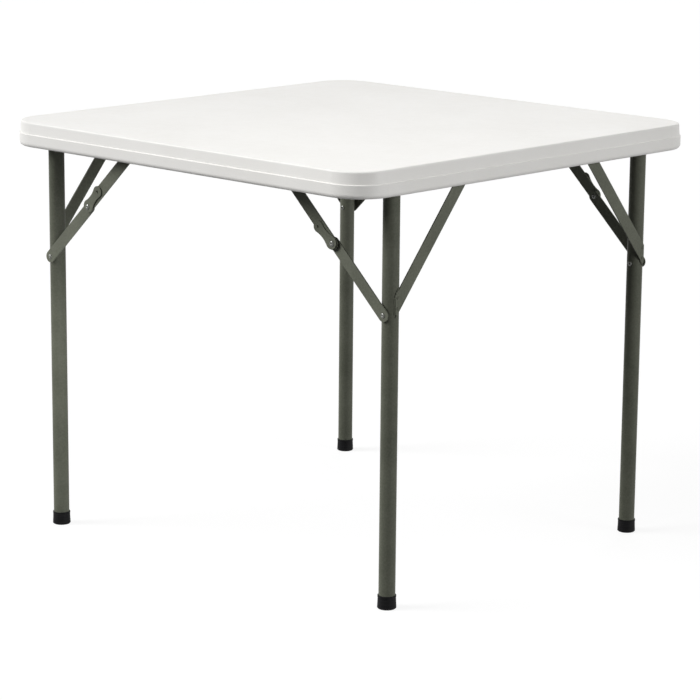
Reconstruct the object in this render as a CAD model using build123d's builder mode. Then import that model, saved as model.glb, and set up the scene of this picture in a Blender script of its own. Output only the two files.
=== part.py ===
from build123d import *
from math import atan2, cos, degrees, hypot, radians, sin, tan
import os

os.makedirs("parts", exist_ok=True)

# Folding card table: a square blow-moulded top on two steel leg pairs.
# X runs from the left pair to the right pair, Y from front to rear, Z up.
# The origin is on the floor under the middle of the top.
# The left pair is the wide one and the right pair the narrow one, so that they nest when folded.
# Lengths are in millimetres and angles in degrees.

# Overall sizes
table_side = 864
table_height = 737
corner_radius = 65

# Moulded top, as depths below the top surface and widths in from the edge
top_thickness = 44.5
upper_band_height = 21.5
upper_band_lean = 1.6
ledge_step = 1.8
ledge_radius = 0.9
top_edge_radius = 3.5
lip_outer_radius = 7
lip_inner_radius = 2.5
lip_width = 19
lip_draft = 1.5
recess_corner_radius = 18.5
channel_floor_thickness = 12
island_thickness = 25
island_draft = 3
island_corner_radius = 30
island_clearance = 12
dimple_radius = 13
dimple_depth = 17
dimple_draft_angle = 17
dimple_spacing = 78

# Steel tube of the legs and cross tubes
tube_diameter = 28
tube_wall = 1.2
weld_gap = 0.1

# Feet
foot_wall = 2
foot_height = 23
foot_floor = 4
foot_chamfer = 1.5
foot_taper = 0.8
foot_ring_height = 3.5
foot_ring_step = 0.4
foot_fit_gap = 0.05
foot_clearance = 0.5

# Side rails, folded from sheet steel
sheet_thickness = 1.5
flange_depth = 23
bend_radius = 2
inner_bend_radius = 0.5
ear_margin = 1.7
ear_blend_radius = 9
rail_end_gap = 1.8
rail_side_gap = 11.4
nest_gap = 12.2
wide_pivot_inset = 70

# Bushes and end caps of the cross tubes
bush_wall = 0.8
bush_clearance = 0.08
bush_overhang = 1.2
cap_head_radius = 15
cap_head_height = 2.5
cap_plug_length = 9
cap_fit_gap = 0.05
end_gap = 0.3

# Folding braces, with the leg and the brace rivets measured from the pivot
brace_drop = 214.5
anchor_reach = 226
link_width = 21
link_thickness = 2
link_gap = 0.3
washer_radius = 7.5
washer_thickness = 1.4
seat_gap = 0.1
head_clearance = 0.5
flange_clearance = 0.4
spacer_radius = 6

# Rivets of the braces
rivet_radius = 3
rivet_hole_gap = 0.06
rivet_head_radius = 4.6
rivet_head_height = 1.5
rivet_tail_height = 1.3
rivet_dimple_radius = 1.7
rivet_dimple_depth = 0.9
rivet_hollow_radius = 1.8
rivet_hollow_depth = 2.4
anchor_head_radius = 4
knuckle_head_radius = 5.2

# Locking plate on each knuckle
latch_thickness = 1.6
latch_heel_reach = 2.5
latch_heel_radius = 11.3
latch_tip_reach = 39.5
latch_tip_side = 3.6
latch_tip_radius = 10
latch_waist_radius = 45
latch_window_radius = 3.4

# Fixed straps between each leg and its cross tube
strap_width = 23.5
strap_thickness = 2
strap_drop = 194.5
strap_angle = 50.5
strap_end_margin = 4.5
strap_corner_radius = 2.5
strap_rivet_spacing = 18
strap_rivet_radius = 1.8
strap_head_radius = 3
strap_head_height = 1
strap_tail_length = 1

# Screws that hold the rails to the top
screw_radius = 2.2
screw_length = 10
screw_point_length = 3
screw_head_radius = 4.5
screw_head_height = 2.2
screw_fit_gap = 0.05
screw_rail_margin = 6
screw_place_shares = (0.1, 0.3, 0.5, 0.7, 0.9)

# Levels of the moulded top
lip_foot_z = table_height - top_thickness
ledge_z = table_height - upper_band_height
channel_z = table_height - channel_floor_thickness
island_z = table_height - island_thickness
mouth_side = table_side - 2 * lip_width
floor_side = mouth_side - 2 * lip_draft

# Tube and foot radii, and the height of both leg pivots
tube_radius = tube_diameter / 2
bore_radius = tube_radius - tube_wall
foot_radius = tube_radius + foot_wall
pivot_z = channel_z - foot_radius - foot_clearance

# Layers of a brace, as distances outward from the axis of its leg
washer_in = tube_radius + seat_gap
lower_in = washer_in + washer_thickness + link_gap
lower_out = lower_in + link_thickness
leg_head_in = lower_out + link_gap
leg_head_out = leg_head_in + rivet_head_height
upper_in = leg_head_out + head_clearance
upper_out = upper_in + link_thickness
latch_in = upper_out + link_gap
knuckle_head_in = latch_in + latch_thickness + link_gap
knuckle_head_out = knuckle_head_in + rivet_head_height
flange_in = knuckle_head_out + flange_clearance
flange_out = flange_in + sheet_thickness
rivet_hole_radius = rivet_radius + rivet_hole_gap

# Places of the legs and pivots
bush_in_radius = tube_radius + bush_clearance
bush_out_radius = bush_in_radius + bush_wall
ear_radius = bush_out_radius + ear_margin
wide_leg_y = floor_side / 2 - rail_side_gap - flange_out
narrow_leg_y = wide_leg_y - tube_radius - nest_gap - flange_out
wide_pivot_x = wide_pivot_inset - table_side / 2
narrow_pivot_x = floor_side / 2 - rail_end_gap - ear_radius

# Brace geometry: straight at rest, and both links along the leg when it is folded
brace_angle = atan2(brace_drop, anchor_reach)
brace_length = hypot(brace_drop, anchor_reach)
lower_link_length = (brace_length + brace_drop - anchor_reach) / 2
upper_link_length = brace_length - lower_link_length

# Rails
rail_outer_y = wide_leg_y + flange_out
rail_inner_y = narrow_leg_y + flange_in
rail_start_x = wide_pivot_x - ear_radius
rail_end_x = narrow_pivot_x + ear_radius
rail_length = rail_end_x - rail_start_x
rail_middle_x = (rail_start_x + rail_end_x) / 2
web_z = channel_z - sheet_thickness
flange_bottom_z = web_z - flange_depth
screw_y = rail_inner_y + sheet_thickness + screw_rail_margin
cross_half_length = rail_outer_y + bush_overhang + end_gap

# Straps
strap_run = strap_drop / tan(radians(strap_angle))
strap_face = tube_radius + seat_gap
strap_foot_z = pivot_z - strap_drop

FRONT = -1
REAR = 1
SIDES = {"front": FRONT, "rear": REAR}

CLINCHED = "clinched"
FLAT = "flat"

# Each pair: the X of its pivot, the Y of its legs, and the way it folds along X
PAIRS = {"left": (wide_pivot_x, wide_leg_y, 1), "right": (narrow_pivot_x, narrow_leg_y, -1)}


def save(piece, name):
    """Label a finished piece and write its file."""
    piece.part.label = name
    export_step(piece.part, f"parts/{name}.step")


def brace_plane(pair, outward, along, offset):
    """Plane on the straight brace, its x axis up the brace and its normal away from the table."""
    pivot_x, leg_y, inward = PAIRS[pair]
    x = pivot_x + inward * along * cos(brace_angle)
    z = pivot_z - brace_drop + along * sin(brace_angle)
    up_brace = (inward * cos(brace_angle), 0, sin(brace_angle))
    return Plane(origin=(x, outward * (leg_y + offset), z), x_dir=up_brace, z_dir=(0, outward, 0))


def turning_plane(x, y, z, direction):
    """Plane for a turned profile, its y axis along the direction of the head."""
    across = (0, 1, 0) if direction[0] else (1, 0, 0)
    normal = Vector(*across).cross(Vector(*direction))
    return Plane(origin=(x, y, z), x_dir=across, z_dir=normal)


def button_profile(place, steps, head_radius, head_base, head_height):
    """Half section of a plain fastener: the steps of its shank and a domed head."""
    head_top = head_base + head_height
    with BuildSketch(place) as profile:
        with BuildLine():
            Polyline(*steps, (head_radius, head_base))
            TangentArc((0, head_top), (head_radius, head_base), tangent=(1, 0))
            Line((0, head_top), steps[0])
        make_face()
    return profile.sketch


def clinch_line(tail_radius, tail_base):
    """Draw the hollow, rolled-over tail of a rivet and return the point where its hollow starts."""
    tail_end = tail_base - rivet_tail_height
    hollow_start = (0, tail_end + rivet_hollow_depth)
    Polyline(
        hollow_start,
        (rivet_hollow_radius, tail_end + rivet_hollow_depth),
        (rivet_hollow_radius, tail_end),
    )
    TangentArc((rivet_hollow_radius, tail_end), (tail_radius, tail_base), tangent=(1, 0))
    return hollow_start


def rivet_profile(place, start, steps, head_radius, head_base, head_height):
    """Half section of a rivet: its clinched or flat start, shank steps and a dimpled head."""
    head_top = head_base + head_height
    with BuildSketch(place) as profile:
        with BuildLine():
            if start == CLINCHED:
                first = clinch_line(rivet_head_radius, steps[0][1])
                Line((rivet_head_radius, steps[0][1]), steps[0])
            else:
                first = (0, steps[0][1])
                Line(first, steps[0])
            Polyline(*steps, (head_radius, head_base))
            TangentArc((rivet_dimple_radius, head_top), (head_radius, head_base), tangent=(1, 0))
            Polyline((rivet_dimple_radius, head_top), (0, head_top - rivet_dimple_depth), first)
        make_face()
    return profile.sketch


# Moulded top: outer bands, lip, recess, raised island with its dimples, and screw holes
with BuildPart() as table_top:
    with BuildSketch(Plane.XY.offset(lip_foot_z)):
        RectangleRounded(table_side, table_side, corner_radius)
    extrude(amount=ledge_z - lip_foot_z)
    fillet(table_top.faces().sort_by(Axis.Z)[0].edges(), lip_outer_radius)
    fillet(table_top.faces().sort_by(Axis.Z)[-1].edges(), ledge_radius)

    upper_band_side = table_side - 2 * ledge_step
    with BuildSketch(Plane.XY.offset(ledge_z)):
        RectangleRounded(upper_band_side, upper_band_side, corner_radius - ledge_step)
    extrude(amount=upper_band_height, taper=degrees(atan2(upper_band_lean, upper_band_height)))
    fillet(table_top.faces().sort_by(Axis.Z)[-1].edges(), top_edge_radius)

    recess_depth = channel_z - lip_foot_z
    with BuildSketch(Plane.XY.offset(lip_foot_z)):
        RectangleRounded(mouth_side, mouth_side, recess_corner_radius + lip_draft)
    extrude(
        amount=recess_depth,
        taper=degrees(atan2(lip_draft, recess_depth)),
        mode=Mode.SUBTRACT,
    )
    fillet(table_top.faces().sort_by(Axis.Z)[0].inner_wires()[0].edges(), lip_inner_radius)

    island_start_x = wide_pivot_x + tube_radius + island_clearance
    island_end_x = narrow_pivot_x - tube_radius - island_clearance
    island_length = island_end_x - island_start_x
    island_width = 2 * (narrow_leg_y - foot_radius - island_clearance)
    island_middle_x = (island_start_x + island_end_x) / 2
    island_depth = channel_z - island_z
    with BuildSketch(Plane(origin=(island_middle_x, 0, channel_z), z_dir=(0, 0, -1))):
        RectangleRounded(island_length, island_width, island_corner_radius)
    extrude(amount=island_depth, taper=degrees(atan2(island_draft, island_depth)))

    dimple_columns = int(island_length / dimple_spacing)
    dimple_rows = int(island_width / dimple_spacing)
    with BuildSketch(Plane(origin=(island_middle_x, 0, island_z))):
        with GridLocations(dimple_spacing, dimple_spacing, dimple_columns, dimple_rows):
            Circle(dimple_radius)
    extrude(amount=dimple_depth, taper=dimple_draft_angle, mode=Mode.SUBTRACT)

    with BuildSketch(Plane.XY.offset(channel_z)):
        for share in screw_place_shares:
            for outward in SIDES.values():
                with Locations((rail_start_x + share * rail_length, outward * screw_y)):
                    Circle(screw_radius + screw_fit_gap)
    extrude(amount=screw_length + screw_fit_gap, mode=Mode.SUBTRACT)
save(table_top, "table_top")


def make_rail(outward):
    """One side rail: a channel open downward, its two flanges carrying the pivots and anchors."""
    pivots = ((wide_pivot_x, pivot_z), (narrow_pivot_x, pivot_z))
    pivot_span = narrow_pivot_x - wide_pivot_x
    flanges = (
        (rail_inner_y, sheet_thickness, narrow_pivot_x - anchor_reach),
        (rail_outer_y, -sheet_thickness, wide_pivot_x + anchor_reach),
    )
    with BuildPart() as rail:
        for flange_y, thickness, anchor_x in flanges:
            with BuildSketch(Plane.XZ.offset(-outward * flange_y)) as flange:
                with Locations((rail_middle_x, (flange_bottom_z + channel_z) / 2)):
                    Rectangle(pivot_span, channel_z - flange_bottom_z)
                with Locations((rail_middle_x, (pivot_z + channel_z) / 2)):
                    Rectangle(rail_length, channel_z - pivot_z)
                with Locations(*pivots):
                    Circle(ear_radius)
                with Locations((rail_middle_x, channel_z - ear_radius)):
                    Rectangle(rail_length, 2 * ear_radius, mode=Mode.INTERSECT)
                blends = flange.vertices().filter_by_position(
                    Axis.Y, flange_bottom_z - end_gap, flange_bottom_z + end_gap
                )
                fillet(blends, ear_blend_radius)
                with Locations(*pivots):
                    Circle(bush_out_radius, mode=Mode.SUBTRACT)
                with Locations((anchor_x, pivot_z)):
                    Circle(rivet_hole_radius, mode=Mode.SUBTRACT)
            extrude(amount=-outward * thickness)
        with BuildSketch(Plane.XY.offset(web_z)):
            with Locations((rail_middle_x, outward * (rail_inner_y + rail_outer_y) / 2)):
                Rectangle(rail_length, rail_outer_y - rail_inner_y)
            for share in screw_place_shares:
                with Locations((rail_start_x + share * rail_length, outward * screw_y)):
                    Circle(screw_radius + screw_fit_gap, mode=Mode.SUBTRACT)
        extrude(amount=sheet_thickness)
        long_edges = rail.edges().filter_by(Axis.X)
        fillet(long_edges.group_by(Axis.Z)[-1], bend_radius)
        long_edges = rail.edges().filter_by(Axis.X)
        inner_corners = long_edges.filter_by_position(Axis.Z, web_z - end_gap, web_z + end_gap)
        fillet(inner_corners, inner_bend_radius)
    return rail


def make_rail_screws():
    """Pan-head screws up through both rail webs into the top."""
    with BuildPart() as screws:
        for share in screw_place_shares:
            for outward in SIDES.values():
                x = rail_start_x + share * rail_length
                place = turning_plane(x, outward * screw_y, web_z, (0, 0, -1))
                point = -sheet_thickness - screw_length
                shank_end = point + screw_point_length
                steps = ((0, point), (screw_radius, shank_end), (screw_radius, 0))
                revolve(
                    button_profile(place, steps, screw_head_radius, 0, screw_head_height),
                    axis=Axis(place.origin, place.y_dir),
                )
    return screws


def make_bushes(pair):
    """Plain sleeves for one cross tube, one in each flange of both rails."""
    pivot_x = PAIRS[pair][0]
    with BuildPart() as bushes:
        for outward in SIDES.values():
            for flange_y in (rail_inner_y, rail_outer_y - sheet_thickness):
                start_y = flange_y - bush_overhang
                with BuildSketch(Plane.XZ.offset(-outward * start_y)):
                    with Locations((pivot_x, pivot_z)):
                        Circle(bush_out_radius)
                        Circle(bush_in_radius, mode=Mode.SUBTRACT)
                extrude(amount=-outward * (sheet_thickness + 2 * bush_overhang))
    return bushes


def make_anchor_rivets(pair):
    """Rivets that hold the upper links of one pair to the rails."""
    with BuildPart() as rivets:
        for outward in SIDES.values():
            seat = brace_plane(pair, outward, brace_length, 0).origin
            place = turning_plane(seat.X, seat.Y, seat.Z, (0, -outward, 0))
            head_base = link_gap - upper_in
            steps = ((rivet_radius, -flange_out), (rivet_radius, head_base))
            revolve(
                rivet_profile(
                    place, CLINCHED, steps, anchor_head_radius, head_base, rivet_head_height
                ),
                axis=Axis(place.origin, place.y_dir),
            )
    return rivets


def make_rings(pair, along, start, end, outer_radius):
    """Flat rings round the rivets of one pair, between two distances from the leg axis."""
    with BuildPart() as rings:
        for outward in SIDES.values():
            with BuildSketch(brace_plane(pair, outward, along, start)):
                Circle(outer_radius)
                Circle(rivet_hole_radius, mode=Mode.SUBTRACT)
            extrude(amount=end - start)
    return rings


def make_cross_tube(pair):
    """Cross tube that the two legs of a pair hang from."""
    pivot_x, leg_y, inward = PAIRS[pair]
    with BuildPart() as cross_tube:
        with BuildSketch(Plane.XZ):
            with Locations((pivot_x, pivot_z)):
                Circle(tube_radius)
                Circle(bore_radius, mode=Mode.SUBTRACT)
        extrude(amount=cross_half_length, both=True)
        with BuildSketch(Plane.YZ.offset(pivot_x)):
            for outward in SIDES.values():
                with Locations(*strap_cross_spots(leg_y, outward)):
                    Circle(strap_rivet_radius + rivet_hole_gap)
        extrude(amount=-inward * tube_diameter, mode=Mode.SUBTRACT)
    return cross_tube


def strap_leg_spots(leg_y, outward):
    """Rivet places of a strap on its leg, in Y and Z."""
    half = strap_rivet_spacing / 2
    return [(outward * leg_y, strap_foot_z - half), (outward * leg_y, strap_foot_z + half)]


def strap_cross_spots(leg_y, outward):
    """Rivet places of a strap on its cross tube, in Y and Z."""
    half = strap_rivet_spacing / 2
    middle = leg_y - strap_run
    return [(outward * (middle - half), pivot_z), (outward * (middle + half), pivot_z)]


def make_leg(pair, outward):
    """Leg tube, its top coped round the cross tube, with its rivet holes."""
    pivot_x, leg_y, inward = PAIRS[pair]
    with BuildPart() as leg:
        with BuildSketch(Plane.XY.offset(foot_floor)):
            with Locations((pivot_x, outward * leg_y)):
                Circle(tube_radius)
                Circle(bore_radius, mode=Mode.SUBTRACT)
        extrude(amount=pivot_z - foot_floor)
        with BuildSketch(Plane.XZ.offset(-outward * leg_y)):
            with Locations((pivot_x, pivot_z)):
                Circle(tube_radius + weld_gap)
            with Locations((pivot_x, pivot_z - brace_drop)):
                Circle(rivet_hole_radius)
        extrude(amount=tube_diameter, both=True, mode=Mode.SUBTRACT)
        with BuildSketch(Plane.YZ.offset(pivot_x)):
            with Locations(*strap_leg_spots(leg_y, outward)):
                Circle(strap_rivet_radius + rivet_hole_gap)
        extrude(amount=-inward * tube_diameter, mode=Mode.SUBTRACT)
    return leg


def make_strap(pair, outward):
    """Flat strap that stiffens a leg, from its outer face up to the cross tube."""
    pivot_x, leg_y, inward = PAIRS[pair]
    slope = tan(radians(strap_angle))
    half_rise = strap_width / 2 / cos(radians(strap_angle))
    half_run = strap_width / 2 / sin(radians(strap_angle))
    foot_z = strap_foot_z - strap_end_margin * slope
    top_y = leg_y - strap_run - strap_end_margin / slope
    top_z = pivot_z + strap_end_margin
    corners = (
        (outward * (leg_y + strap_end_margin), foot_z - half_rise),
        (outward * (leg_y + strap_end_margin), foot_z + half_rise),
        (outward * (top_y + half_run), top_z),
        (outward * (top_y - half_run), top_z),
    )
    with BuildPart() as strap:
        with BuildSketch(Plane.YZ.offset(pivot_x - inward * strap_face)) as outline:
            with BuildLine():
                Polyline(*corners, close=True)
            make_face()
            fillet(outline.vertices(), strap_corner_radius)
            spots = strap_leg_spots(leg_y, outward) + strap_cross_spots(leg_y, outward)
            with Locations(*spots):
                Circle(strap_rivet_radius + rivet_hole_gap, mode=Mode.SUBTRACT)
        extrude(amount=-inward * strap_thickness)
    return strap


def make_strap_rivets(pair):
    """Blind rivets of both straps of a pair."""
    pivot_x, leg_y, inward = PAIRS[pair]
    head_base = strap_face + strap_thickness
    shank_start = bore_radius - strap_tail_length
    with BuildPart() as rivets:
        for outward in SIDES.values():
            for y, z in strap_leg_spots(leg_y, outward) + strap_cross_spots(leg_y, outward):
                place = turning_plane(pivot_x, y, z, (-inward, 0, 0))
                steps = (
                    (0, shank_start),
                    (strap_rivet_radius, shank_start),
                    (strap_rivet_radius, head_base),
                )
                revolve(
                    button_profile(place, steps, strap_head_radius, head_base, strap_head_height),
                    axis=Axis(place.origin, place.y_dir),
                )
    return rivets


def make_foot(pair, outward):
    """Plastic ferrule pushed over the end of a leg."""
    pivot_x, leg_y, _ = PAIRS[pair]
    waist_radius = foot_radius - foot_taper
    ring_radius = waist_radius + foot_ring_step
    inner_radius = tube_radius + foot_fit_gap
    ring_z = foot_height - foot_ring_height
    place = turning_plane(pivot_x, outward * leg_y, 0, (0, 0, 1))
    with BuildPart() as foot:
        with BuildSketch(place):
            with BuildLine():
                Polyline(
                    (0, 0),
                    (foot_radius - foot_chamfer, 0),
                    (foot_radius, foot_chamfer),
                    (waist_radius, ring_z - foot_ring_step),
                    (ring_radius, ring_z),
                    (ring_radius, foot_height - foot_ring_step),
                    (ring_radius - foot_ring_step, foot_height),
                    (inner_radius, foot_height),
                    (inner_radius, foot_floor),
                    (0, foot_floor),
                    close=True,
                )
            make_face()
        revolve(axis=Axis(place.origin, place.y_dir))
    return foot


def make_brace_rivets(pair):
    """Rivets through both legs of a pair that carry the lower links."""
    with BuildPart() as rivets:
        for outward in SIDES.values():
            seat = brace_plane(pair, outward, 0, 0).origin
            place = turning_plane(seat.X, seat.Y, seat.Z, (0, outward, 0))
            steps = ((rivet_radius, -washer_in), (rivet_radius, leg_head_in))
            revolve(
                rivet_profile(
                    place, CLINCHED, steps, rivet_head_radius, leg_head_in, rivet_head_height
                ),
                axis=Axis(place.origin, place.y_dir),
            )
    return rivets


def make_tube_caps(pair):
    """Plastic plugs in both ends of a cross tube, outside the rails."""
    pivot_x = PAIRS[pair][0]
    plug_radius = bore_radius - cap_fit_gap
    with BuildPart() as caps:
        for outward in SIDES.values():
            with BuildSketch(Plane.XZ.offset(-outward * cross_half_length)):
                with Locations((pivot_x, pivot_z)):
                    Circle(cap_head_radius)
            extrude(amount=-outward * cap_head_height)
            with BuildSketch(Plane.XZ.offset(-outward * cross_half_length)):
                with Locations((pivot_x, pivot_z)):
                    Circle(plug_radius)
            extrude(amount=outward * cap_plug_length)
    return caps


def make_link(pair, outward, along, offset, length):
    """Flat brace link with round ends and a rivet hole at each end."""
    with BuildPart() as link:
        with BuildSketch(brace_plane(pair, outward, along, offset)):
            with Locations((length / 2, 0)):
                SlotCenterToCenter(length, link_width)
            with Locations((0, 0), (length, 0)):
                Circle(rivet_hole_radius, mode=Mode.SUBTRACT)
        extrude(amount=link_thickness)
    return link


def make_knuckle_tails(pair):
    """Inner halves of the knuckle rivets, held in the lower links."""
    with BuildPart() as tails:
        for outward in SIDES.values():
            seat = brace_plane(pair, outward, lower_link_length, 0).origin
            place = turning_plane(seat.X, seat.Y, seat.Z, (0, outward, 0))
            with BuildSketch(place):
                with BuildLine():
                    hollow_start = clinch_line(rivet_head_radius, lower_in)
                    Polyline(
                        (rivet_head_radius, lower_in),
                        (rivet_radius, lower_in),
                        (rivet_radius, lower_out),
                        (0, lower_out),
                        hollow_start,
                    )
                make_face()
            revolve(axis=Axis(place.origin, place.y_dir))
    return tails


def make_knuckle_rivets(pair):
    """Outer halves of the knuckle rivets: a shoulder, the shank of upper link and plate, a head."""
    with BuildPart() as rivets:
        for outward in SIDES.values():
            seat = brace_plane(pair, outward, lower_link_length, 0).origin
            place = turning_plane(seat.X, seat.Y, seat.Z, (0, outward, 0))
            steps = (
                (spacer_radius, lower_out + link_gap),
                (spacer_radius, upper_in),
                (rivet_radius, upper_in),
                (rivet_radius, knuckle_head_in),
            )
            revolve(
                rivet_profile(
                    place, FLAT, steps, knuckle_head_radius, knuckle_head_in, rivet_head_height
                ),
                axis=Axis(place.origin, place.y_dir),
            )
    return rivets


def waist_points(heel, tip, bend):
    """Tangent points and middle of the hollow arc between heel and tip, bend being its side."""
    along = (tip - heel).normalized()
    across = Vector(-along.Y, along.X) * bend
    gap = (tip - heel).length
    heel_reach = latch_heel_radius + latch_waist_radius
    tip_reach = latch_tip_radius + latch_waist_radius
    run = (heel_reach**2 + gap**2 - tip_reach**2) / (2 * gap)
    rise = (heel_reach**2 - run**2) ** 0.5
    centre = heel + along * run + across * rise
    start = heel + (centre - heel).normalized() * latch_heel_radius
    middle = centre - across * latch_waist_radius
    end = tip + (centre - tip).normalized() * latch_tip_radius
    return start, middle, end


def make_latch(pair, outward):
    """Waisted locking plate that swings on the knuckle rivet, with a window in its tip."""
    heel = Vector(latch_heel_reach, 0)
    tip = Vector(latch_tip_reach, latch_tip_side)
    along = (tip - heel).normalized()
    near = waist_points(heel, tip, 1)
    far = waist_points(heel, tip, -1)
    with BuildPart() as latch:
        with BuildSketch(brace_plane(pair, outward, lower_link_length, latch_in)):
            with BuildLine():
                ThreePointArc(*near)
                ThreePointArc(near[2], tip + along * latch_tip_radius, far[2])
                ThreePointArc(*far)
                ThreePointArc(near[0], heel - along * latch_heel_radius, far[0])
            make_face()
            Circle(rivet_hole_radius, mode=Mode.SUBTRACT)
            with Locations((tip.X, tip.Y)):
                RegularPolygon(latch_window_radius, 3, mode=Mode.SUBTRACT)
        extrude(amount=latch_thickness)
    return latch


# Pieces fixed to the top
for side, outward in SIDES.items():
    save(make_rail(outward), f"side_rail_{side}")
save(make_rail_screws(), "rail_screws")

# Pieces of each leg pair and its braces
for pair in PAIRS:
    save(make_bushes(pair), f"{pair}_pivot_bushes")
    save(make_anchor_rivets(pair), f"{pair}_anchor_rivets")
    spacers = make_rings(pair, brace_length, upper_out + link_gap, flange_in, spacer_radius)
    save(spacers, f"{pair}_anchor_spacers")
    save(make_cross_tube(pair), f"{pair}_cross_tube")
    save(make_strap_rivets(pair), f"{pair}_strap_rivets")
    save(make_brace_rivets(pair), f"{pair}_brace_rivets")
    washers = make_rings(pair, 0, washer_in, washer_in + washer_thickness, washer_radius)
    save(washers, f"{pair}_brace_washers")
    save(make_tube_caps(pair), f"{pair}_tube_caps")
    save(make_knuckle_tails(pair), f"{pair}_knuckle_tails")
    save(make_knuckle_rivets(pair), f"{pair}_knuckle_rivets")
    for side, outward in SIDES.items():
        save(make_leg(pair, outward), f"{pair}_leg_{side}")
        save(make_strap(pair, outward), f"{pair}_strap_{side}")
        save(make_foot(pair, outward), f"{pair}_foot_{side}")
        lower_link = make_link(pair, outward, 0, lower_in, lower_link_length)
        save(lower_link, f"{pair}_lower_link_{side}")
        upper_link = make_link(pair, outward, lower_link_length, upper_in, upper_link_length)
        save(upper_link, f"{pair}_upper_link_{side}")
        save(make_latch(pair, outward), f"{pair}_latch_plate_{side}")
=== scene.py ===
# The card table's looks: materials and weld beads on the solids, the studio and the camera
import math

import bmesh
import bpy
from mathutils import Matrix, Vector


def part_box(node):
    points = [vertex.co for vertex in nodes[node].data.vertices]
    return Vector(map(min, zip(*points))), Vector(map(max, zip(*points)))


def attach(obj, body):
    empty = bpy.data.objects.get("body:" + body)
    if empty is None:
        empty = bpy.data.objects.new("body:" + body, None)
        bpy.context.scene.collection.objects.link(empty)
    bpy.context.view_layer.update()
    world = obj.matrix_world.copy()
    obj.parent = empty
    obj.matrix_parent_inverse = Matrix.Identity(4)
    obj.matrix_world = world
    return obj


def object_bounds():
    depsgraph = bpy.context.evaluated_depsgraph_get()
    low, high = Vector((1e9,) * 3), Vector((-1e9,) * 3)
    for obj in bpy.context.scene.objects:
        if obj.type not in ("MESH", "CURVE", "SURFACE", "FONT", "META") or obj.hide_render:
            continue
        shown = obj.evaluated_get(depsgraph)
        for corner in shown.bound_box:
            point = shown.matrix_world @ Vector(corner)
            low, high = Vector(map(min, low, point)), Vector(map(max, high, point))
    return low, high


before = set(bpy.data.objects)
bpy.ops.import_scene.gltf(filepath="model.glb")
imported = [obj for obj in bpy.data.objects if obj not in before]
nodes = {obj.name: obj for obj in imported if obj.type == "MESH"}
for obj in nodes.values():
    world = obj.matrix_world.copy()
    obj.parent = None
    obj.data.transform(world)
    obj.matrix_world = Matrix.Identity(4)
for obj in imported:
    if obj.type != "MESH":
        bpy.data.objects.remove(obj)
cad_low, cad_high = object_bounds()

# Sizes in metres, the same as the solids
TUBE_RADIUS = 0.014
STRAP_DROP = 0.1945
STRAP_SLOPE = math.tan(math.radians(50.5))
STRAP_WIDTH = 0.0235
STRAP_END_MARGIN = 0.0045
STRAP_CORNER = 0.003
PAIRS = (("left", 1), ("right", -1))
SIDES = (("front", -1), ("rear", 1))

# Camera, found by fitting the photograph's corners, legs and feet
CAMERA_PLACE = (3.3150, -3.4909, 1.4032)
CAMERA_TURN = 0.7592
CAMERA_PITCH = 0.2210
CAMERA_ROLL = 0.009
CAMERA_FOCAL_PIXELS = 2743.3
CAMERA_CLIP = (0.05, 60.0)
IMAGE_PIXELS = 700.0
SENSOR_WIDTH = 36.0

# Colours: where there are two, a pattern mixes the dark one with the light one
PLASTIC_COLOURS = ((0.785, 0.775, 0.748), (0.822, 0.813, 0.79))
PLASTIC_SPECK_COLOUR = (0.55, 0.55, 0.54)
LEG_COLOURS = ((0.078, 0.083, 0.063), (0.134, 0.14, 0.11))
# Braces and straps: the legs' grey-green paint, made lighter as a painted highlight for the light
# that the flat strips catch
BRACE_COLOURS_PAINTED_LIGHTER = ((0.101, 0.107, 0.083), (0.174, 0.182, 0.145))
RAIL_COLOURS = ((0.07, 0.077, 0.058), (0.12, 0.128, 0.1))
RIVET_COLOURS = ((0.075, 0.08, 0.062), (0.13, 0.136, 0.112))
RUBBED_COLOUR = (0.17, 0.175, 0.16)
ZINC_COLOURS = ((0.42, 0.42, 0.43), (0.62, 0.62, 0.63))
BLACK_COLOURS = ((0.004, 0.004, 0.0045), (0.01, 0.01, 0.0105))
NYLON_COLOURS = ((0.62, 0.61, 0.56), (0.72, 0.71, 0.67))

# Parts of a pattern's range that are stretched over the whole of a mix
NOISE_MIDDLE = (0.3, 0.7)
NOISE_CORE = (0.35, 0.65)
WHOLE = (0.0, 1.0)

# Softened edges: radius in metres, and the cosines between the flat and the rounded normal
# from a full edge to none
PAINT_EDGE_RADIUS = 0.0005
EDGE_COSINES = (0.8, 0.98)
EDGE_SAMPLES = 4

# The specular level of a plain Principled shader, and where a Mix node has its colour sockets
PLAIN_SPECULAR = 0.5
MIX_FACTOR_INPUT = 0
MIX_COLOUR_INPUTS = (6, 7)
MIX_COLOUR_OUTPUT = 2

# Weld beads: lengths in metres, and shares of a bead's radius
LEG_WELD_RADIUS = 0.0011
WELD_RADIUS = 0.0016
WELD_RIPPLE_LENGTH = 0.0026
WELD_RIPPLE_SHARE = 0.16
WELD_TIP_SHARE = 0.02
WELD_TIP_POWER = 4
WELD_ROUND_POINTS = 10
SADDLE_POINTS = 72
EDGE_WELD_POINTS = 9
EDGE_WELD_REACH = 0.004
EDGE_WELD_GAP_SHARE = 0.5
EDGE_WELD_RISE_SHARE = 0.4
END_WELD_POINTS = 37
END_WELD_GAP_SHARE = 0.3
END_WELD_SINK_SHARE = 0.1

# Studio: light strengths, linear colours, and lengths in metres
WHITE = (1.0, 1.0, 1.0, 1.0)
AMBIENT = 0.06
BACKGROUND = 1.0
FLOOR_REACH = 30.0
FLOOR_COLOUR = (0.12, 0.12, 0.12, 1.0)
SEEN_FLOOR_COLOUR = (0.16, 0.16, 0.16, 1.0)
SEEN_FLOOR_GLOW = 0.875
LAMP_DISTANCE = 5.0


def add_object(name, data):
    """A new object in the scene."""
    made = bpy.data.objects.new(name, data)
    bpy.context.scene.collection.objects.link(made)
    return made


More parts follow.
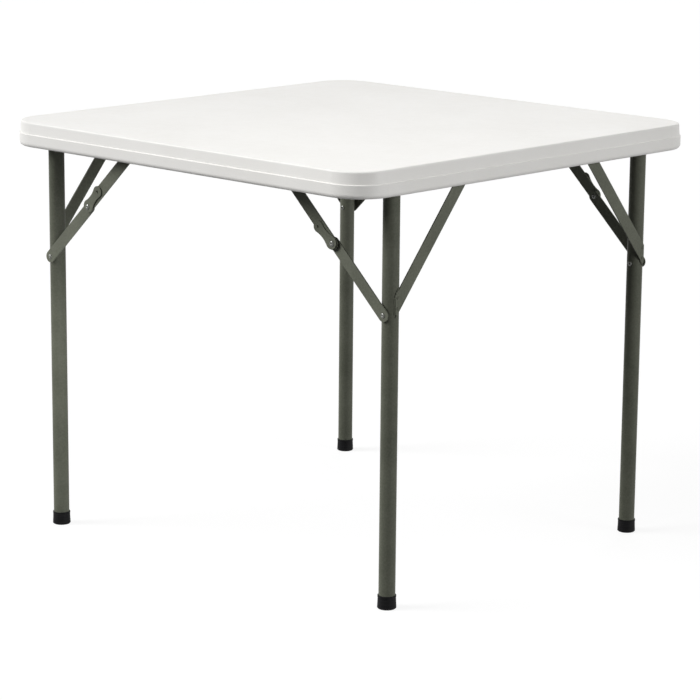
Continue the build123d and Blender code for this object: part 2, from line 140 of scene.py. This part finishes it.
def add_camera():
    """The photograph's viewpoint, with a slight roll."""
    data = bpy.data.cameras.new("camera")
    data.sensor_width = SENSOR_WIDTH
    data.lens = CAMERA_FOCAL_PIXELS / IMAGE_PIXELS * SENSOR_WIDTH
    data.clip_start, data.clip_end = CAMERA_CLIP
    level = math.cos(CAMERA_PITCH)
    level_right = Vector((math.cos(CAMERA_TURN), math.sin(CAMERA_TURN), 0.0))
    forward = Vector(
        (-math.sin(CAMERA_TURN) * level, math.cos(CAMERA_TURN) * level, -math.sin(CAMERA_PITCH))
    )
    level_up = level_right.cross(forward)
    right = level_right * math.cos(CAMERA_ROLL) + level_up * math.sin(CAMERA_ROLL)
    up = level_up * math.cos(CAMERA_ROLL) - level_right * math.sin(CAMERA_ROLL)
    rotation = Matrix((right, up, -forward)).transposed()
    camera = add_object("camera", data)
    camera.matrix_world = Matrix.Translation(CAMERA_PLACE) @ rotation.to_4x4()
    bpy.context.scene.camera = camera


class Shader:
    """A material with a Principled shader and short calls to add nodes to it.

    A pattern's scale counts its features per metre, and a relief's depth is in metres.
    """

    def __init__(self, name):
        self.material = bpy.data.materials.new(name)
        self.material.use_nodes = True
        self.tree = self.material.node_tree
        self.surface = self.tree.nodes["Principled BSDF"]
        self.coordinates = self.add("ShaderNodeTexCoord").outputs["Object"]

    def add(self, kind, **values):
        """A new node with some of its options set."""
        node = self.tree.nodes.new(kind)
        for key, value in values.items():
            setattr(node, key, value)
        return node

    def link(self, start, end):
        """Join an output to an input."""
        self.tree.links.new(start, end)

    def stretched(self, scale):
        """Object coordinates stretched along their axes."""
        mapping = self.add("ShaderNodeMapping")
        mapping.inputs["Scale"].default_value = scale
        self.link(self.coordinates, mapping.inputs["Vector"])
        return mapping.outputs["Vector"]

    def noise(self, scale, detail=2.0, roughness=0.5, vector=None):
        """Soft random clouds."""
        node = self.add("ShaderNodeTexNoise")
        node.inputs["Scale"].default_value = scale
        node.inputs["Detail"].default_value = detail
        node.inputs["Roughness"].default_value = roughness
        self.link(vector or self.coordinates, node.inputs["Vector"])
        return node.outputs["Fac"]

    def cells(self, scale, smoothness=0.6):
        """Rounded random cells."""
        node = self.add("ShaderNodeTexVoronoi", feature="SMOOTH_F1")
        node.inputs["Scale"].default_value = scale
        node.inputs["Smoothness"].default_value = smoothness
        self.link(self.coordinates, node.inputs["Vector"])
        return node.outputs["Distance"]

    def math(self, operation, first, second):
        """A sum or product of outputs and numbers."""
        node = self.add("ShaderNodeMath", operation=operation)
        for socket, value in zip(node.inputs, (first, second)):
            if isinstance(value, float):
                socket.default_value = value
            else:
                self.link(value, socket)
        return node.outputs["Value"]

    def span(self, value, source, target=WHOLE):
        """Map a value from one span to another, clamped."""
        node = self.add("ShaderNodeMapRange")
        for end, source_end, target_end in zip(("Min", "Max"), source, target):
            node.inputs[f"From {end}"].default_value = source_end
            node.inputs[f"To {end}"].default_value = target_end
        self.link(value, node.inputs["Value"])
        return node.outputs["Result"]

    def mix(self, factor, first, second):
        """A mix of two colours, each a plain one or an output."""
        node = self.add("ShaderNodeMix", data_type="RGBA")
        self.link(factor, node.inputs[MIX_FACTOR_INPUT])
        for index, value in zip(MIX_COLOUR_INPUTS, (first, second)):
            if isinstance(value, tuple):
                node.inputs[index].default_value = (*value, 1.0)
            else:
                self.link(value, node.inputs[index])
        return node.outputs[MIX_COLOUR_OUTPUT]

    def bump(self, height, depth, strength=1.0, normal=None):
        """The normal after a relief, laid over another normal where one is given."""
        node = self.add("ShaderNodeBump")
        node.inputs["Strength"].default_value = strength
        node.inputs["Distance"].default_value = depth
        self.link(height, node.inputs["Height"])
        if normal:
            self.link(normal, node.inputs["Normal"])
        return node.outputs["Normal"]

    def soft_edges(self, radius):
        """The normal with sharp edges rounded off, and how near each point is to an edge."""
        rounded = self.add("ShaderNodeBevel", samples=EDGE_SAMPLES)
        rounded.inputs["Radius"].default_value = radius
        facet = self.add("ShaderNodeNewGeometry")
        facing = self.add("ShaderNodeVectorMath", operation="DOT_PRODUCT")
        self.link(rounded.outputs["Normal"], facing.inputs[0])
        self.link(facet.outputs["Normal"], facing.inputs[1])
        nearness = self.span(facing.outputs["Value"], EDGE_COSINES, (1.0, 0.0))
        return rounded.outputs["Normal"], nearness

    def rubbed(self, colour, edge, wear):
        """The colour, paler along the edges by a worn pattern."""
        return self.mix(self.math("MULTIPLY", edge, wear), colour, RUBBED_COLOUR)

    def finish(self, colour, roughness, normal, specular=PLAIN_SPECULAR, metallic=0.0):
        """Feed the shader and give back its material."""
        for name, value in (("Base Color", colour), ("Roughness", roughness), ("Normal", normal)):
            self.link(value, self.surface.inputs[name])
        self.surface.inputs["Specular IOR Level"].default_value = specular
        self.surface.inputs["Metallic"].default_value = metallic
        return self.material


def moulded_plastic():
    """White polyethylene with a fine grain, soft waves and faint clouding."""
    shader = Shader("moulded_plastic")
    cloud = shader.noise(scale=5.0, detail=4.0, roughness=0.55)
    colour = shader.mix(shader.span(cloud, NOISE_MIDDLE), *PLASTIC_COLOURS)
    specks = shader.noise(scale=2400.0, detail=1.0)
    speck_share = shader.span(specks, source=(0.66, 0.72), target=(0.0, 0.16))
    colour = shader.mix(speck_share, colour, PLASTIC_SPECK_COLOUR)
    sheen = shader.noise(scale=60.0, detail=3.0)
    roughness = shader.span(sheen, NOISE_MIDDLE, target=(0.42, 0.56))
    waves = shader.bump(shader.noise(scale=9.0, detail=1.0), depth=0.0012)
    grain = shader.bump(shader.cells(scale=700.0), depth=0.00022, strength=0.6, normal=waves)
    return shader.finish(colour, roughness, grain, specular=0.42)


def hammered_paint(name, colours):
    """Grey-green powder coat with a hammered texture, rubbed paler along its edges."""
    shader = Shader(name)
    rounded, edge = shader.soft_edges(PAINT_EDGE_RADIUS)
    cells = shader.cells(scale=330.0, smoothness=0.8)
    drift = shader.noise(scale=14.0, detail=3.0)
    flake_share = 0.3
    flakes = shader.math("MULTIPLY", shader.span(cells, source=(0.15, 0.75)), flake_share)
    patches = shader.span(drift, NOISE_CORE, target=(0.1, 0.5))
    colour = shader.mix(shader.math("ADD", flakes, patches), *colours)
    worn = shader.noise(scale=110.0, detail=4.0, roughness=0.6)
    colour = shader.rubbed(colour, edge, shader.span(worn, (0.42, 0.68), (0.0, 0.55)))
    sheen = shader.noise(scale=500.0, detail=2.0)
    roughness = shader.span(sheen, NOISE_MIDDLE, target=(0.34, 0.5))
    relief = shader.bump(cells, depth=0.0004, strength=0.3, normal=rounded)
    dust = shader.noise(scale=1500.0, detail=2.0)
    relief = shader.bump(dust, depth=0.00008, strength=0.5, normal=relief)
    return shader.finish(colour, roughness, relief, specular=0.08)


def gloss_paint(name, colours):
    """Smooth grey-green paint on turned steel, with an orange peel and rubbed rims."""
    shader = Shader(name)
    rounded, edge = shader.soft_edges(PAINT_EDGE_RADIUS)
    patches = shader.span(shader.noise(scale=240.0, detail=3.0), NOISE_CORE)
    colour = shader.mix(patches, *colours)
    worn = shader.noise(scale=420.0, detail=3.0)
    colour = shader.rubbed(colour, edge, shader.span(worn, (0.45, 0.7), (0.0, 0.6)))
    sheen = shader.noise(scale=700.0, detail=2.0)
    roughness = shader.span(sheen, NOISE_MIDDLE, target=(0.12, 0.24))
    peel = shader.noise(scale=900.0, detail=2.0)
    relief = shader.bump(peel, depth=0.00004, strength=0.6, normal=rounded)
    return shader.finish(colour, roughness, relief, specular=0.9)


def plated_steel(name, colours):
    """Zinc-plated steel with fine turning marks and dull patches."""
    shader = Shader(name)
    patches = shader.span(shader.noise(scale=260.0, detail=3.0), NOISE_CORE)
    colour = shader.mix(patches, *colours)
    sheen = shader.noise(scale=700.0, detail=2.0)
    roughness = shader.span(sheen, NOISE_MIDDLE, target=(0.24, 0.46))
    marks = shader.noise(scale=2600.0, detail=2.0)
    relief = shader.bump(marks, depth=0.00005, strength=0.6)
    return shader.finish(colour, roughness, relief, metallic=1.0)


def black_plastic(name, colours, roughness_span):
    """Satin black moulding with faint flow lines and a fine grain."""
    shader = Shader(name)
    flow_shape = shader.stretched((1.0, 1.0, 14.0))
    flow = shader.noise(scale=40.0, detail=3.0, vector=flow_shape)
    colour = shader.mix(shader.span(flow, NOISE_MIDDLE), *colours)
    sheen = shader.noise(scale=300.0, detail=2.0)
    roughness = shader.span(sheen, NOISE_MIDDLE, roughness_span)
    lines = shader.bump(flow, depth=0.0002, strength=0.5)
    grain = shader.noise(scale=1800.0, detail=2.0)
    relief = shader.bump(grain, depth=0.00006, strength=0.6, normal=lines)
    return shader.finish(colour, roughness, relief, specular=0.07)


def pale_nylon():
    """Milky bearing plastic."""
    shader = Shader("pale_nylon")
    colour = shader.mix(shader.noise(scale=120.0, detail=3.0), *NYLON_COLOURS)
    sheen = shader.noise(scale=400.0, detail=2.0)
    roughness = shader.span(sheen, NOISE_MIDDLE, target=(0.3, 0.42))
    relief = shader.bump(shader.noise(scale=1500.0), depth=0.00004, strength=0.5)
    return shader.finish(colour, roughness, relief)


def paint_nodes():
    """Give each solid its material, and give back the legs' paint."""
    top = moulded_plastic()
    legs = hammered_paint("leg_paint", LEG_COLOURS)
    # The links, latches and straps get the legs' paint made lighter: a painted highlight for the
    # light that they catch
    painted_lighter_braces = hammered_paint("brace_paint", BRACE_COLOURS_PAINTED_LIGHTER)
    rails = hammered_paint("rail_paint", RAIL_COLOURS)
    rivets = gloss_paint("rivet_paint", RIVET_COLOURS)
    screws = plated_steel("screw_steel", ZINC_COLOURS)
    rubber = black_plastic("foot_rubber", BLACK_COLOURS, (0.45, 0.62))
    caps = black_plastic("cap_plastic", BLACK_COLOURS, (0.34, 0.5))
    nylon = pale_nylon()
    # The first word that a node's name holds counts
    by_word = (
        ("table_top", top),
        ("side_rail", rails),
        ("rail_screws", screws),
        ("bushes", nylon),
        ("foot", rubber),
        ("caps", caps),
        ("strap_rivets", legs),
        ("rivets", rivets),
        ("washers", rivets),
        ("spacers", rivets),
        ("tails", rivets),
        ("link", painted_lighter_braces),
        ("latch", painted_lighter_braces),
        ("strap", painted_lighter_braces),
        ("leg", legs),
        ("cross_tube", legs),
    )
    for name, node in nodes.items():
        material = next(found for word, found in by_word if word in name)
        node.data.materials.clear()
        node.data.materials.append(material)
    return legs


def even_steps(count):
    """Numbers from -1 to 1 in even steps."""
    return [2 * index / (count - 1) - 1 for index in range(count)]


def circle_turns(count):
    """Angles of a full turn in even steps."""
    return [2 * math.pi * index / count for index in range(count)]


def bead_rings(work, path, closed, full_radius):
    """Rings of points round a path, rippled, and drawn in at open ends."""
    count = len(path)
    rings = []
    run = 0.0
    for index, (place, share) in enumerate(zip(path, even_steps(count))):
        after = path[(index + 1) % count] if closed else path[min(index + 1, count - 1)]
        before = path[index - 1] if closed or index else path[0]
        forward = (after - before).normalized()
        side = forward.orthogonal().normalized()
        rise = forward.cross(side)
        ripple = 1 - WELD_RIPPLE_SHARE * abs(math.cos(math.pi * run / WELD_RIPPLE_LENGTH))
        taper = 1.0 if closed else math.sqrt(max(WELD_TIP_SHARE, 1 - share**WELD_TIP_POWER))
        radius = full_radius * ripple * taper
        ring = []
        for turn in circle_turns(WELD_ROUND_POINTS):
            offset = side * math.cos(turn) + rise * math.sin(turn)
            ring.append(work.verts.new(place + offset * radius))
        rings.append(ring)
        run += (after - place).length
    return rings


def facing_ring(first, second):
    """The second ring, begun at the point that faces the first one of the first ring."""
    shift = min(
        range(WELD_ROUND_POINTS),
        key=lambda step: (first[0].co - second[step].co).length,
    )
    return second[shift:] + second[:shift]


def swept_bead(name, path, closed, full_radius):
    """A rippled bead of weld along a path, round in section and tapered at open ends."""
    work = bmesh.new()
    rings = bead_rings(work, path, closed, full_radius)
    pairs = list(zip(rings, rings[1:]))
    if closed:
        pairs.append((rings[-1], rings[0]))
    for first, second in pairs:
        facing = facing_ring(first, second)
        for step in range(WELD_ROUND_POINTS):
            after = (step + 1) % WELD_ROUND_POINTS
            work.faces.new((first[step], first[after], facing[after], facing[step]))
    if not closed:
        work.faces.new(rings[0][::-1])
        work.faces.new(rings[-1])
    bmesh.ops.recalc_face_normals(work, faces=work.faces)
    for face in work.faces:
        face.smooth = True
    mesh = bpy.data.meshes.new(name)
    work.to_mesh(mesh)
    work.free()
    return mesh


def saddle_path(pivot_x, pivot_z, leg_y):
    """Where the coped top of a leg meets its cross tube."""
    points = []
    for turn in circle_turns(SADDLE_POINTS):
        drop = math.hypot(TUBE_RADIUS * math.sin(turn), LEG_WELD_RADIUS)
        x = pivot_x + TUBE_RADIUS * math.cos(turn)
        points.append(Vector((x, leg_y + TUBE_RADIUS * math.sin(turn), pivot_z - drop)))
    return points


def edge_path(pivot_x, outside, centre, across, along, shift):
    """A short run beside one edge of a strap, where it lies on a tube.

    The run passes the edge at centre, across is the way square to the tube, along the way
    down its length, and shift how far along the edge moves for each step across.
    """
    points = []
    for share in even_steps(EDGE_WELD_POINTS):
        step = EDGE_WELD_REACH * share
        depth = math.sqrt(TUBE_RADIUS**2 - step**2) + WELD_RADIUS * EDGE_WELD_RISE_SHARE
        place = centre + across * step + along * (shift * step)
        points.append(Vector((pivot_x + outside * depth, place.y, place.z)))
    return points


def end_path(pivot_x, outside, centre, beyond, along, half_length):
    """A run beside the end of a strap, down the length of the tube that it lies on."""
    reach = STRAP_END_MARGIN + WELD_RADIUS * END_WELD_GAP_SHARE
    depth = math.sqrt(TUBE_RADIUS**2 - reach**2) - WELD_RADIUS * END_WELD_SINK_SHARE
    points = []
    for share in even_steps(END_WELD_POINTS):
        place = centre + beyond * reach + along * (half_length * share)
        points.append(Vector((pivot_x + outside * depth, place.y, place.z)))
    return points


def strap_paths(pivot_x, pivot_z, leg_y, outside, outward):
    """The runs of weld round both ends of a strap, by their names."""
    half_rise = STRAP_WIDTH / 2 * math.hypot(1, STRAP_SLOPE)
    half_run = half_rise / STRAP_SLOPE
    inward = Vector((0.0, -outward, 0.0))
    up = Vector((0.0, 0.0, 1.0))
    leg_spot = Vector((pivot_x, leg_y, pivot_z - STRAP_DROP))
    tube_spot = Vector((pivot_x, leg_y, pivot_z)) + inward * (STRAP_DROP / STRAP_SLOPE)
    paths = {}
    for place, edge in (("lower", -1), ("upper", 1)):
        gap = edge * WELD_RADIUS * EDGE_WELD_GAP_SHARE
        on_leg = leg_spot + up * (edge * half_rise + gap)
        on_tube = tube_spot + inward * (-edge * half_run - gap)
        paths[f"leg_{place}"] = edge_path(pivot_x, outside, on_leg, inward, up, STRAP_SLOPE)
        paths[f"tube_{place}"] = edge_path(pivot_x, outside, on_tube, up, inward, 1 / STRAP_SLOPE)
    leg_end = leg_spot - up * (STRAP_END_MARGIN * STRAP_SLOPE)
    leg_length = half_rise - STRAP_CORNER
    paths["leg_end"] = end_path(pivot_x, outside, leg_end, -inward, up, leg_length)
    tube_end = tube_spot + inward * (STRAP_END_MARGIN / STRAP_SLOPE)
    tube_length = half_run - STRAP_CORNER
    paths["tube_end"] = end_path(pivot_x, outside, tube_end, up, inward, tube_length)
    return paths


def add_welds(paint):
    """Weld beads round the leg tops and the strap ends, painted with the legs."""
    for pair, fold_way in PAIRS:
        tube_low, tube_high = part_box(f"{pair}_cross_tube")
        pivot_x = (tube_low[0] + tube_high[0]) / 2
        pivot_z = (tube_low[2] + tube_high[2]) / 2
        for side, outward in SIDES:
            leg_low, leg_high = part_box(f"{pair}_leg_{side}")
            leg_y = (leg_low[1] + leg_high[1]) / 2
            saddle = saddle_path(pivot_x, pivot_z, leg_y)
            meshes = {"top": swept_bead("leg_top", saddle, True, LEG_WELD_RADIUS)}
            paths = strap_paths(pivot_x, pivot_z, leg_y, -fold_way, outward)
            for spot, path in paths.items():
                meshes[spot] = swept_bead("strap_weld", path, False, WELD_RADIUS)
            for spot, mesh in meshes.items():
                mesh.materials.append(paint)
                bead = add_object(f"weld_{pair}_{side}_{spot}", mesh)
                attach(bead, f"{pair}_leg_pair")


def add_soft_light(name, way, lift, strength, softness, in_gloss=True):
    """A broad distant light from the level direction way, lifted by an angle in degrees."""
    data = bpy.data.lights.new(name, "SUN")
    data.energy = strength
    data.angle = math.radians(softness)
    rise = math.radians(lift)
    level = Vector((*way, 0.0)).normalized()
    toward = level * math.cos(rise) + Vector((0.0, 0.0, math.sin(rise)))
    lamp = add_object(name, data)
    lamp.location = toward * LAMP_DISTANCE
    lamp.rotation_mode = "QUATERNION"
    lamp.rotation_quaternion = toward.to_track_quat("Z", "Y")
    lamp.visible_glossy = in_gloss


def add_aimed_light(name, place, aim, size, power, spread):
    """A near soft light with a grid that limits how far to its sides it shines."""
    data = bpy.data.lights.new(name, "AREA")
    data.shape = "SQUARE"
    data.size = size
    data.energy = power
    data.spread = math.radians(spread)
    lamp = add_object(name, data)
    lamp.location = place
    lamp.rotation_mode = "QUATERNION"
    lamp.rotation_quaternion = (Vector(aim) - Vector(place)).to_track_quat("-Z", "Y")
    lamp.visible_camera = False


def seen_directly(tree):
    """One where the camera, a reflection or a clear material looks at the background."""
    path = tree.nodes.new("ShaderNodeLightPath")
    total = path.outputs["Is Camera Ray"]
    for ray in ("Is Glossy Ray", "Is Transmission Ray"):
        either = tree.nodes.new("ShaderNodeMath")
        either.operation = "MAXIMUM"
        tree.links.new(total, either.inputs[0])
        tree.links.new(path.outputs[ray], either.inputs[1])
        total = either.outputs["Value"]
    return total


def show_two_ways(tree, output, plain, seen):
    """Send seen to the output where the surface is looked at, and plain for all other light."""
    pick = tree.nodes.new("ShaderNodeMixShader")
    tree.links.new(seen_directly(tree), pick.inputs["Fac"])
    tree.links.new(plain.outputs[0], pick.inputs[1])
    tree.links.new(seen.outputs[0], pick.inputs[2])
    tree.links.new(pick.outputs[0], output.inputs["Surface"])


def add_world():
    """White behind the object, plain even light for everything else."""
    world = bpy.data.worlds.new("studio")
    bpy.context.scene.world = world
    world.use_nodes = True
    tree = world.node_tree
    tree.nodes.clear()
    output = tree.nodes.new("ShaderNodeOutputWorld")
    plain = tree.nodes.new("ShaderNodeBackground")
    white = tree.nodes.new("ShaderNodeBackground")
    for node, strength in ((plain, AMBIENT), (white, BACKGROUND)):
        node.inputs["Color"].default_value = WHITE
        node.inputs["Strength"].default_value = strength
    show_two_ways(tree, output, plain, white)


def floor_paint():
    """White with a faint shadow where it is looked at, and a dark grey as a reflector."""
    material = bpy.data.materials.new("floor_paint")
    material.use_nodes = True
    tree = material.node_tree
    tree.nodes.clear()
    output = tree.nodes.new("ShaderNodeOutputMaterial")
    reflector = tree.nodes.new("ShaderNodeBsdfDiffuse")
    shadowed = tree.nodes.new("ShaderNodeBsdfDiffuse")
    glow = tree.nodes.new("ShaderNodeEmission")
    seen = tree.nodes.new("ShaderNodeAddShader")
    reflector.inputs["Color"].default_value = FLOOR_COLOUR
    shadowed.inputs["Color"].default_value = SEEN_FLOOR_COLOUR
    glow.inputs["Strength"].default_value = SEEN_FLOOR_GLOW
    tree.links.new(shadowed.outputs[0], seen.inputs[0])
    tree.links.new(glow.outputs[0], seen.inputs[1])
    show_two_ways(tree, output, reflector, seen)
    return material


def add_floor():
    """Plain white floor that keeps a faint shadow."""
    mesh = bpy.data.meshes.new("floor")
    signs = ((-1, -1), (1, -1), (1, 1), (-1, 1))
    corners = [(x * FLOOR_REACH, y * FLOOR_REACH, 0.0) for x, y in signs]
    mesh.from_pydata(corners, [], [(0, 1, 2, 3)])
    mesh.materials.append(floor_paint())
    floor = add_object("floor", mesh)


def add_lights():
    """The photograph's light: strong from the left, low from the right, soft elsewhere."""
    add_soft_light("left_light", way=(-0.66, -0.75), lift=29.0, strength=3.44, softness=30.0)
    add_soft_light("right_light", way=(0.97, 0.2), lift=9.0, strength=2.02, softness=30.0)
    add_soft_light(
        "rear_light", way=(-0.55, 0.83), lift=25.0, strength=1.0, softness=40.0, in_gloss=False
    )
    add_aimed_light(
        "left_leg_fill",
        place=(0.33, -0.92, 0.3),
        aim=(-0.37, -0.39, 0.28),
        size=0.4,
        power=0.4,
        spread=42.0,
    )
    add_aimed_light(
        "top_light",
        place=(0.45, -0.7, 2.1),
        aim=(0.45, -0.7, cad_high[2]),
        size=1.0,
        power=4.9,
        spread=160.0,
    )


add_camera()
add_welds(paint_nodes())
add_world()
add_floor()
add_lights()

bpy.context.scene.view_settings.view_transform = "Standard"
